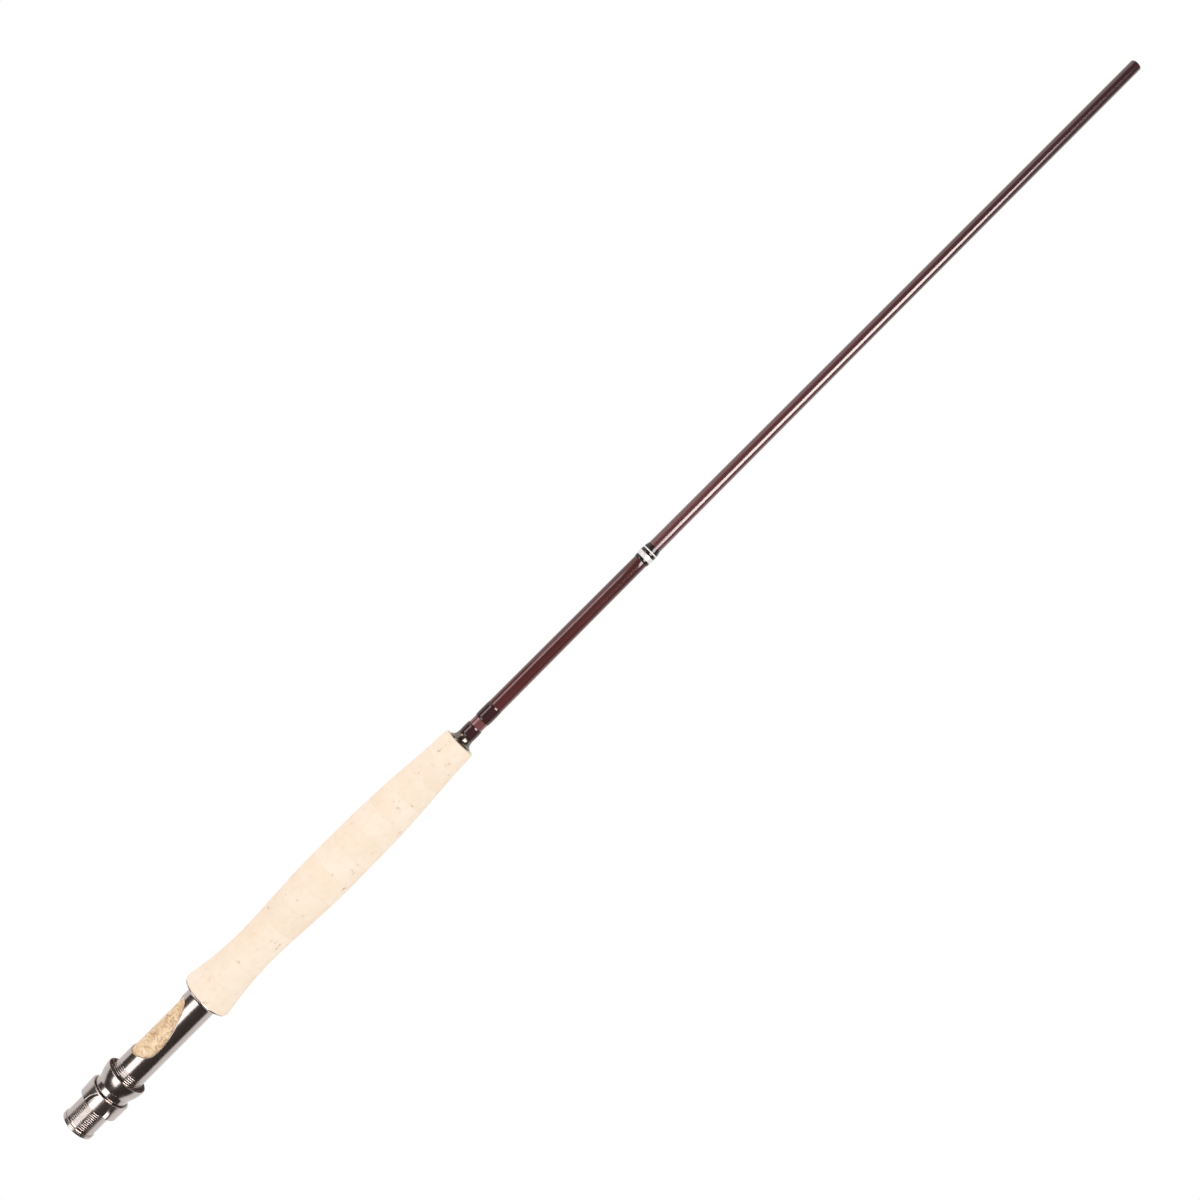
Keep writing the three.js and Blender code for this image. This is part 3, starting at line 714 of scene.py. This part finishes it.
hood = add_piece(
    "belled_hood", [revolved(hood_outline())], black_nickel, "hood", ["sliding_hood"]
)
in_bell = lambda x, radius, outward: (x > nut_start + bell_start) & (outward < 0)
second_finish(hood, bare_bore, in_bell)

# %% [markdown]
# ## Cork grip
# Fourteen rings are glued in a row and turned to one flowing outline. Each ring is made from its own
# stretch of that outline, so it stays a piece of its own.

# %% Outline of the grip and its rings
grip_shares = [
    [0, 1], [0.03, 0.947], [0.087, 0.843], [0.143, 0.783], [0.193, 0.763], [0.263, 0.789], [0.395, 0.877],
    [0.465, 0.908], [0.543, 0.904], [0.655, 0.885], [0.767, 0.832], [0.843, 0.761], [0.899, 0.707],
    [0.955, 0.672], [1, 0.642],
]
grip_line = flowing(grip_shares, 10)
flare_radius, butt_edge, top_edge = 13.39, 1.2, 0.8


def corner_drop(edge, distance):
    """How far a rounded corner of radius `edge` takes the surface down, at a distance from the end."""
    inside = np.clip(edge - distance, 0, edge)
    return edge - np.sqrt(edge**2 - inside**2)


def grip_radius(distance):
    """The flare's radius times a share, less what the two rounded ends take away."""
    radius = flare_radius * np.interp(distance / grip_length, grip_line[:, 0], grip_line[:, 1])
    return radius - corner_drop(butt_edge, distance) - corner_drop(top_edge, grip_length - distance)


blank_butt, blank_tip = 4.65, 3.05
blank_shares = np.array([
    [0, 0], [0.354, 0.494], [0.544, 0.728], [0.66, 0.848], [0.795, 0.93], [0.89, 0.981], [1, 1],
])


def blank_radius(x):
    """From the butt's radius to the tip's, along the taper's shares."""
    share = (np.asarray(x, float) - blank_start) / (blank_end - blank_start)
    return blank_butt + (blank_tip - blank_butt) * np.interp(share, blank_shares[:, 0], blank_shares[:, 1])


def ring_outline(start, end):
    """Outside from the end back to the start, then the bore. Where an end of the grip is rounded, the rows
    are closer."""
    near_butt = butt_edge * np.linspace(0.08, 1, 7) ** 1.6
    near_top = grip_length - top_edge * np.linspace(0.1, 1, 5)
    places = np.concatenate([np.linspace(start, end, 9), near_butt, near_top])
    places = np.unique(places[(places >= start) & (places <= end)])[::-1]
    outside = np.stack([seat_length + places, grip_radius(places)], axis=1)
    if start == 0:
        steps = [(0, 11.25), (8, 11.25), (8, 8.45), (11, 8.45), (11, 4.7)]
        bore = [[seat_length + x, radius] for x, radius in steps]
    else:
        bore = [[seat_length + start, blank_radius(seat_length + start) + bond_gap]]
    bore.append([seat_length + end, blank_radius(seat_length + end) + bond_gap])
    return np.vstack([outside, bore])


for k in range(ring_count):
    outline = ring_outline(k * ring_length, (k + 1) * ring_length)
    add_piece(f"cork_{k + 1:02d}", [revolved(outline, 96)], cork, "rod", [f"cork_ring_{k + 1:02d}"])

# %% [markdown]
# ## Winding check, blank and wraps
# A dark turned check closes the cork and falls in a trumpet curve to the blank. Past it come a low wrap and
# a longer one, a clear coated stretch, and a trim of black and silver bands. All of them are sleeves: an
# outline that stands a little proud of the tapering blank, turned once round.

# %% Check and blank
check_end = grip_end + 4.1
check_radius, check_flange = 6.1, 0.75
sleeve_gap = 0.04


def check_outline():
    """A short flange, then a quarter ellipse down to the blank."""
    turn = np.linspace(0, np.pi / 2, 14)
    nose = blank_radius(check_end) + 0.45
    x = grip_end + check_flange + (check_end - grip_end - check_flange) * (1 - np.cos(turn))
    radius = check_radius + (nose - check_radius) * np.sin(turn)
    fall = np.stack([x, radius], axis=1)
    bore = [[x, blank_radius(x) + sleeve_gap] for x in (check_end, grip_end)]
    return np.vstack([bore, [[grip_end, check_radius - 0.1], [grip_end + 0.1, check_radius]], fall])


add_piece("trumpet_check", [revolved(check_outline(), 96)], dark_check_and_recess_shade, "rod", ["winding_check"])

steps = 8
tip_corners = [[700, blank_tip], [blank_end, blank_tip], [blank_end, 1.85], [700, 1.9]]
tip = softened(tip_corners, [0, 0.8, 0.15, 0], steps)[steps:-steps]
taper = blank_start + (blank_end - blank_start) * np.linspace(0, 0.985, 60)
bore_at_butt = [[blank_start, 3.55]]
blank_outline = np.vstack([np.stack([taper, blank_radius(taper)], axis=1), tip, bore_at_butt])
add_piece("tapered_blank", [revolved(blank_outline, 96)], maroon, "rod", ["blank"])
print("blank narrows from", blank_radius(blank_start), "to", blank_radius(blank_end))

# %% Wraps, clear coat and trim
def sleeve(start, end, height, shares, steps=1):
    """Sleeve whose outside stands `height` times a share above the blank, along a smoothed outline."""
    line = flowing(shares, steps) if steps > 1 else np.asarray(shares, float)
    x = start + (end - start) * line[:, 0]
    outside = np.stack([x, blank_radius(x) + height * line[:, 1]], axis=1)
    bore = [[x, blank_radius(x) + sleeve_gap] for x in (end, start)]
    return revolved(np.vstack([outside, bore]), 96)


wrap_shares = [[0, 0.4], [0.12, 0.85], [0.35, 1], [0.65, 1], [0.88, 0.85], [1, 0.4]]
coat_shares = [[0, 1], [0.5, 1], [0.96, 1], [0.985, 0.8], [1, 0.75]]
lower_end = check_end + 6.6
upper_start = lower_end + 4.4
coat_start = upper_start + 9.2
trim_start = coat_start + 98.4
trim_length = 9.4
trim_height = 0.8
lower = sleeve(check_end, lower_end, 0.42, wrap_shares, 6)
upper = sleeve(upper_start, coat_start, 0.37, wrap_shares, 6)
coat = sleeve(coat_start, trim_start, 0.22, coat_shares, 4)
add_piece("thread_wrap_lower", [lower], maroon_thread, "rod", ["wrap_lower"])
add_piece("thread_wrap_upper", [upper], maroon_thread, "rod", ["wrap_upper"])
add_piece("clear_coat", [coat], label_red, "rod", ["label_coat"])
place = trim_start
for name, share, start, end, material, slot in (
    ("trim_ring_lower", 0.18, 0.62, 0.66, black_thread, "thread"),
    ("trim_band_wide", 0.27, 1.0, 0.96, silver_thread, "silver"),
    ("trim_ring_middle", 0.18, 0.82, 0.8, black_thread, "thread"),
    ("trim_band_narrow", 0.08, 0.86, 0.84, silver_thread, "silver"),
    ("trim_ring_upper", 0.29, 0.72, 0.12, black_thread, "thread"),
):
    shares = [[0, start - 0.1], [0.15, start], [0.85, end], [1, max(end - 0.1, 0.06)]]
    band = sleeve(place, place + trim_length * share, trim_height, shares)
    add_piece(f"wound_{name}", [band], material, "rod", [name])
    place += trim_length * share

# %% [markdown]
# ## Hidden pieces
# The arbors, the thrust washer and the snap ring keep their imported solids. They show only through a gap, so
# a plain finish each is enough: rigid foam, nylon and spring steel.

# %% Finishes of the hidden pieces
def make_plain(name, colour, roughness, metallic, grain):
    material, tree, shader = new_material(name, Metallic=metallic)
    drift = place_group(tree, "Tone drift", Size=grain)
    darker = tuple(0.8 * c for c in colour)
    wire(tree, ramp(tree, drift.outputs[0], [(0.35, darker), (0.65, colour)]), shader.inputs["Base Color"])
    wire(tree, scaled(tree, drift.outputs[0], roughness, roughness * 1.3), shader.inputs["Roughness"])
    bump(tree, shader, drift.outputs[0], 0.00003, 0.4)
    return material


hidden = {
    "arbor_1": make_plain("rigid_foam", (0.62, 0.50, 0.30), 0.7, 0.0, 1500.0),
    "thrust_washer": make_plain("nylon", (0.75, 0.72, 0.64), 0.4, 0.0, 600.0),
    "snap_ring": make_plain("spring_steel", (0.55, 0.55, 0.57), 0.28, 1.0, 800.0),
}
hidden["arbor_2"] = hidden["arbor_3"] = hidden["arbor_1"]
for node, material in hidden.items():
    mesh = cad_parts[node].data
    mesh.materials.clear()
    mesh.materials.append(material)
print("plain finishes on", sorted(hidden))

# %% [markdown]
# ## Studio
# The rod lies over a white sweep. Three softboxes show in the gloss: one draws the white band of the seat,
# one the line on the coated stretch and one the stripe on the bare blank. A mauve side card tints the upper
# side, and the dark room between the lamps draws the black bands on the metal. Matt parts get even light from
# the room, and a fill card that doesn't show in gloss brightens the cork.
# Each lamp is set by its radiance, the light that comes off each patch of it, so it can be moved or widened
# and still looks as bright in a mirror. A camera that looks past the sweep sees the room as plain white, and
# the sweep is clear from below, so the object stands on white from every side.

# %% Sweep, lamps and world
def soft_box(name, place, target, size, radiance, tint, lights_matt=False, shows=True):
    """Area lamp. Its power is radiance times pi times its area. It may show in gloss and light matt parts."""
    lamp = bpy.data.lights.new(name, "AREA")
    lamp.shape = "RECTANGLE"
    lamp.color = tint
    lamp.size, lamp.size_y = size
    lamp.energy = radiance * np.pi * size[0] * size[1]
    box = bpy.data.objects.new(name, lamp)
    box.visible_diffuse = lights_matt
    box.visible_glossy = shows
    box.location = place
    box.rotation_euler = (Vector(target) - Vector(place)).to_track_quat("-Z", "Y").to_euler()
    bpy.context.scene.collection.objects.link(box)


def white_where_seen(tree, surface, plain):
    """Mixes the plain shader with a white emission of strength 1, which camera, glossy and see-through rays
    meet. From below, the sheet is clear."""
    path = add_node(tree, "ShaderNodeLightPath")
    seen = math(tree, "MAXIMUM", path.outputs["Is Camera Ray"], path.outputs["Is Glossy Ray"])
    seen = math(tree, "MAXIMUM", seen, path.outputs["Is Transmission Ray"])
    glow = add_node(tree, "ShaderNodeEmission", Color=(1.0, 1.0, 1.0, 1.0), Strength=1.0)
    mix = add_node(tree, "ShaderNodeMixShader")
    wire(tree, seen, mix.inputs[0])
    wire(tree, plain, mix.inputs[1])
    wire(tree, glow.outputs[0], mix.inputs[2])
    side = add_node(tree, "ShaderNodeNewGeometry")
    clear = add_node(tree, "ShaderNodeBsdfTransparent")
    from_below = add_node(tree, "ShaderNodeMixShader")
    wire(tree, side.outputs["Backfacing"], from_below.inputs[0])
    wire(tree, mix.outputs[0], from_below.inputs[1])
    wire(tree, clear.outputs[0], from_below.inputs[2])
    wire(tree, from_below.outputs[0], surface)


reach, floor_z = 30.0, -0.35
floor_mesh = bpy.data.meshes.new("sweep")
corners = [(reach * x, reach * y, floor_z) for x, y in ((-1, -1), (1, -1), (1, 1), (-1, 1))]
floor_mesh.from_pydata(corners, [], [(0, 1, 2, 3)])
floor = bpy.data.objects.new("sweep", floor_mesh)
bpy.context.scene.collection.objects.link(floor)
sweep, sweep_tree, sweep_shader = new_material("sweep", Roughness=0.9, Base_Color=(0.85, 0.85, 0.85, 1.0))
sweep_out = sweep_tree.nodes["Material Output"].inputs["Surface"]
white_where_seen(sweep_tree, sweep_out, sweep_shader.outputs[0])
floor_mesh.materials.append(sweep)

white, pink, mauve, warm = (1.0, 1.0, 1.0), (1.0, 0.92, 0.90), (1.0, 0.82, 0.80), (1.0, 0.95, 0.88)
soft_box("main_box", (-0.70, 0.52, 1.2), (-0.70, 0.52, 0.0), (1.3, 1.04), 2.6, white)
soft_box("far_box", (0.15, 1.40, 1.25), (0.15, 0.0, 0.0), (0.55, 0.8), 3.5, white)
soft_box("tip_box", (0.795, -0.92, 1.2), (0.795, -0.92, 0.0), (0.67, 1.3), 13.0, pink)
soft_box("side_card", (1.05, 1.2, 0.45), (1.05, 0.0, 0.45), (1.6, 0.9), 1.2, mauve, lights_matt=True)
soft_box(
    "fill_card", (0.35, -0.9, 0.9), (0.35, 0.0, 0.0), (1.2, 0.8), 0.8, warm, lights_matt=True, shows=False
)

world = bpy.data.worlds.new("room")
bpy.context.scene.world = world
world.use_nodes = True
room = world.node_tree.nodes["Background"]
room_path = add_node(world.node_tree, "ShaderNodeLightPath")
straight, spread = room_path.outputs["Is Camera Ray"], room_path.outputs["Is Diffuse Ray"]
dark_room, even_room = 0.045, 0.9
room_light = scaled(world.node_tree, spread, dark_room, even_room)
room_light = math(world.node_tree, "MAXIMUM", room_light, straight)
wire(world.node_tree, room_light, room.inputs["Strength"])
room_plain = math(world.node_tree, "MAXIMUM", straight, spread)
room_tint = mixed(world.node_tree, room_plain, (1.0, 0.82, 0.71), white)
wire(world.node_tree, room_tint, room.inputs["Color"])

# %% [markdown]
# ## Camera
# The camera looks straight down on the middle of the rod, and is rolled so that the rod climbs from the
# lower left corner to the upper right. The lens follows from how much of the rod the frame holds.

# %% Camera over the rod
camera_height, frame_width, sensor = 0.82, 0.5748, 36.0
lens = bpy.data.cameras.new("camera")
lens.sensor_width = sensor
lens.lens = sensor * camera_height / frame_width
lens.clip_start = 0.01
camera = bpy.data.objects.new("camera", lens)
camera.location = (0.355, 0.0006, camera_height)
camera.rotation_euler = (0.0, 0.0, -np.radians(45.05))
bpy.context.scene.collection.objects.link(camera)
bpy.context.scene.camera = camera
bpy.context.scene.view_settings.view_transform = "Standard"
print("lens", round(lens.lens, 2), "mm")
